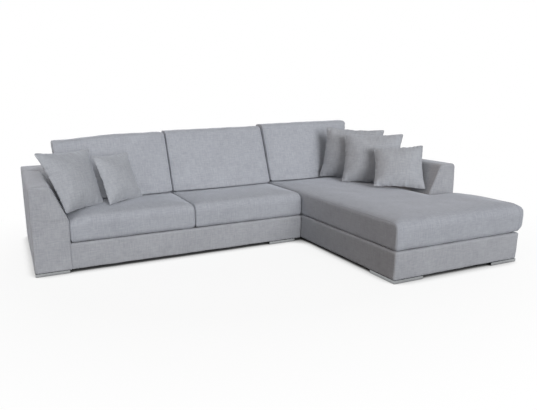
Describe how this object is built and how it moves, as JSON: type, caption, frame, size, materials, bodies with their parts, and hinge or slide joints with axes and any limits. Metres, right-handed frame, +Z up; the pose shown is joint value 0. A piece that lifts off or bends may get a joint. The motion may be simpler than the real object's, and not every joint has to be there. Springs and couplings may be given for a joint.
{
  "type": "corner sofa with chaise",
  "caption": "L-shaped corner sofa: padded seat section with one arm, joined to a chaise with an arm, loose seat and back cushions, throw pillows, low angle feet.",
  "frame": {"origin": "middle of the footprint's bounding rectangle, on the floor", "axes": "+X to the chaise side as seen by someone facing the sofa, +Y from the front of the chaise to the back, +Z up"},
  "size_m": [3.2, 2.24, 0.9117],
  "materials": {
    "frame_fabric": "light blue-grey woven chenille, matt",
    "cushion_fabric": "light blue-grey woven chenille, matt",
    "pillow_fabric": "light blue-grey woven chenille, matt",
    "timber": "planed softwood, unfinished",
    "board": "plywood, unfinished",
    "webbing": "elastic woven webbing",
    "deck_felt": "stitched felt",
    "dust_cloth": "thin black cloth",
    "foam": "open-cell foam",
    "polished_feet": "polished",
    "glide_plastic": "matt black",
    "screw_steel": "zinc plated",
    "plate_steel": "zinc plated",
    "bush_plastic": "moulded"
  },
  "bodies": {
    "left_section": {"left_arm_cover": "frame_fabric", "left_arm_frame": "board", "left_arm_rail": "timber", "left_back_cover": "frame_fabric", "left_back_frame": "board", "left_base_cover": "frame_fabric", "left_centre_rail": "timber", "left_corner_blocks": "timber", "left_deck": "deck_felt", "left_dust_cover": "dust_cloth", "left_foot_screws": "screw_steel", "left_front_foot": "polished_feet", "left_front_rail": "timber", "left_glide_pads": "glide_plastic", "left_joint_rail": "timber", "left_rear_foot": "polished_feet", "left_rear_rail": "timber", "left_rear_seat_rail": "timber", "left_webbing": "webbing", "joint_front_foot": "polished_feet", "joint_rear_foot": "polished_feet", "joint_peg_plates": "plate_steel"},
    "chaise_section": {"chaise_arm_cover": "frame_fabric", "chaise_arm_frame": "board", "chaise_arm_rail": "timber", "chaise_back_cover": "frame_fabric", "chaise_back_frame": "board", "chaise_base_cover": "frame_fabric", "chaise_corner_blocks": "timber", "chaise_cross_rail": "timber", "chaise_deck": "deck_felt", "chaise_dust_cover": "dust_cloth", "chaise_foot_screws": "screw_steel", "chaise_front_left_foot": "polished_feet", "chaise_front_rail": "timber", "chaise_front_right_foot": "polished_feet", "chaise_glide_pads": "glide_plastic", "chaise_joint_rail": "timber", "chaise_rear_left_foot": "polished_feet", "chaise_rear_rail": "timber", "chaise_rear_right_foot": "polished_feet", "chaise_rear_seat_rail": "timber", "chaise_webbing": "webbing", "joint_bushes": "bush_plastic"},
    "left_seat": {"left_seat_cushion": "cushion_fabric", "left_seat_core": "foam"},
    "middle_seat": {"middle_seat_cushion": "cushion_fabric", "middle_seat_core": "foam"},
    "chaise_seat": {"chaise_cushion": "cushion_fabric", "chaise_core": "foam"},
    "left_back": {"left_back_cushion": "cushion_fabric"},
    "middle_back": {"middle_back_cushion": "cushion_fabric"},
    "corner_back": {"corner_back_cushion": "cushion_fabric"},
    "pillow_left_large": {"left_large_pillow": "pillow_fabric"},
    "pillow_left_small": {"left_small_pillow": "pillow_fabric"},
    "pillow_right_rear": {"right_rear_pillow": "pillow_fabric"},
    "pillow_right_middle": {"right_middle_pillow": "pillow_fabric"},
    "pillow_right_front": {"right_front_pillow": "pillow_fabric"}
  },
  "joints": [
    {"name": "chaise_section_lift", "type": "slide", "parent": "left_section", "child": "chaise_section", "axis": [0, 0, 1], "range_m": [0, 0.04]},
    {"name": "left_seat_lift", "type": "slide", "parent": "left_section", "child": "left_seat", "axis": [0, 0, 1], "range_m": [0, 0.15]},
    {"name": "middle_seat_lift", "type": "slide", "parent": "left_section", "child": "middle_seat", "axis": [0, 0, 1], "range_m": [0, 0.15]},
    {"name": "chaise_seat_lift", "type": "slide", "parent": "chaise_section", "child": "chaise_seat", "axis": [0, 0, 1], "range_m": [0, 0.15]},
    {"name": "left_back_lift", "type": "slide", "parent": "left_seat", "child": "left_back", "axis": [0, 0, 1], "range_m": [0, 0.2]},
    {"name": "middle_back_lift", "type": "slide", "parent": "middle_seat", "child": "middle_back", "axis": [0, 0, 1], "range_m": [0, 0.2]},
    {"name": "corner_back_lift", "type": "slide", "parent": "chaise_seat", "child": "corner_back", "axis": [0, 0, 1], "range_m": [0, 0.2]},
    {"name": "left_large_pillow_lift", "type": "slide", "parent": "left_seat", "child": "pillow_left_large", "axis": [0, 0, 1], "range_m": [0, 0.2]},
    {"name": "left_small_pillow_lift", "type": "slide", "parent": "pillow_left_large", "child": "pillow_left_small", "axis": [0, 0, 1], "range_m": [0, 0.2]},
    {"name": "right_rear_pillow_lift", "type": "slide", "parent": "chaise_seat", "child": "pillow_right_rear", "axis": [0, 0, 1], "range_m": [0, 0.2]},
    {"name": "right_middle_pillow_lift", "type": "slide", "parent": "pillow_right_rear", "child": "pillow_right_middle", "axis": [0, 0, 1], "range_m": [0, 0.2]},
    {"name": "right_front_pillow_lift", "type": "slide", "parent": "pillow_right_middle", "child": "pillow_right_front", "axis": [0, 0, 1], "range_m": [0, 0.2]}
  ]
}
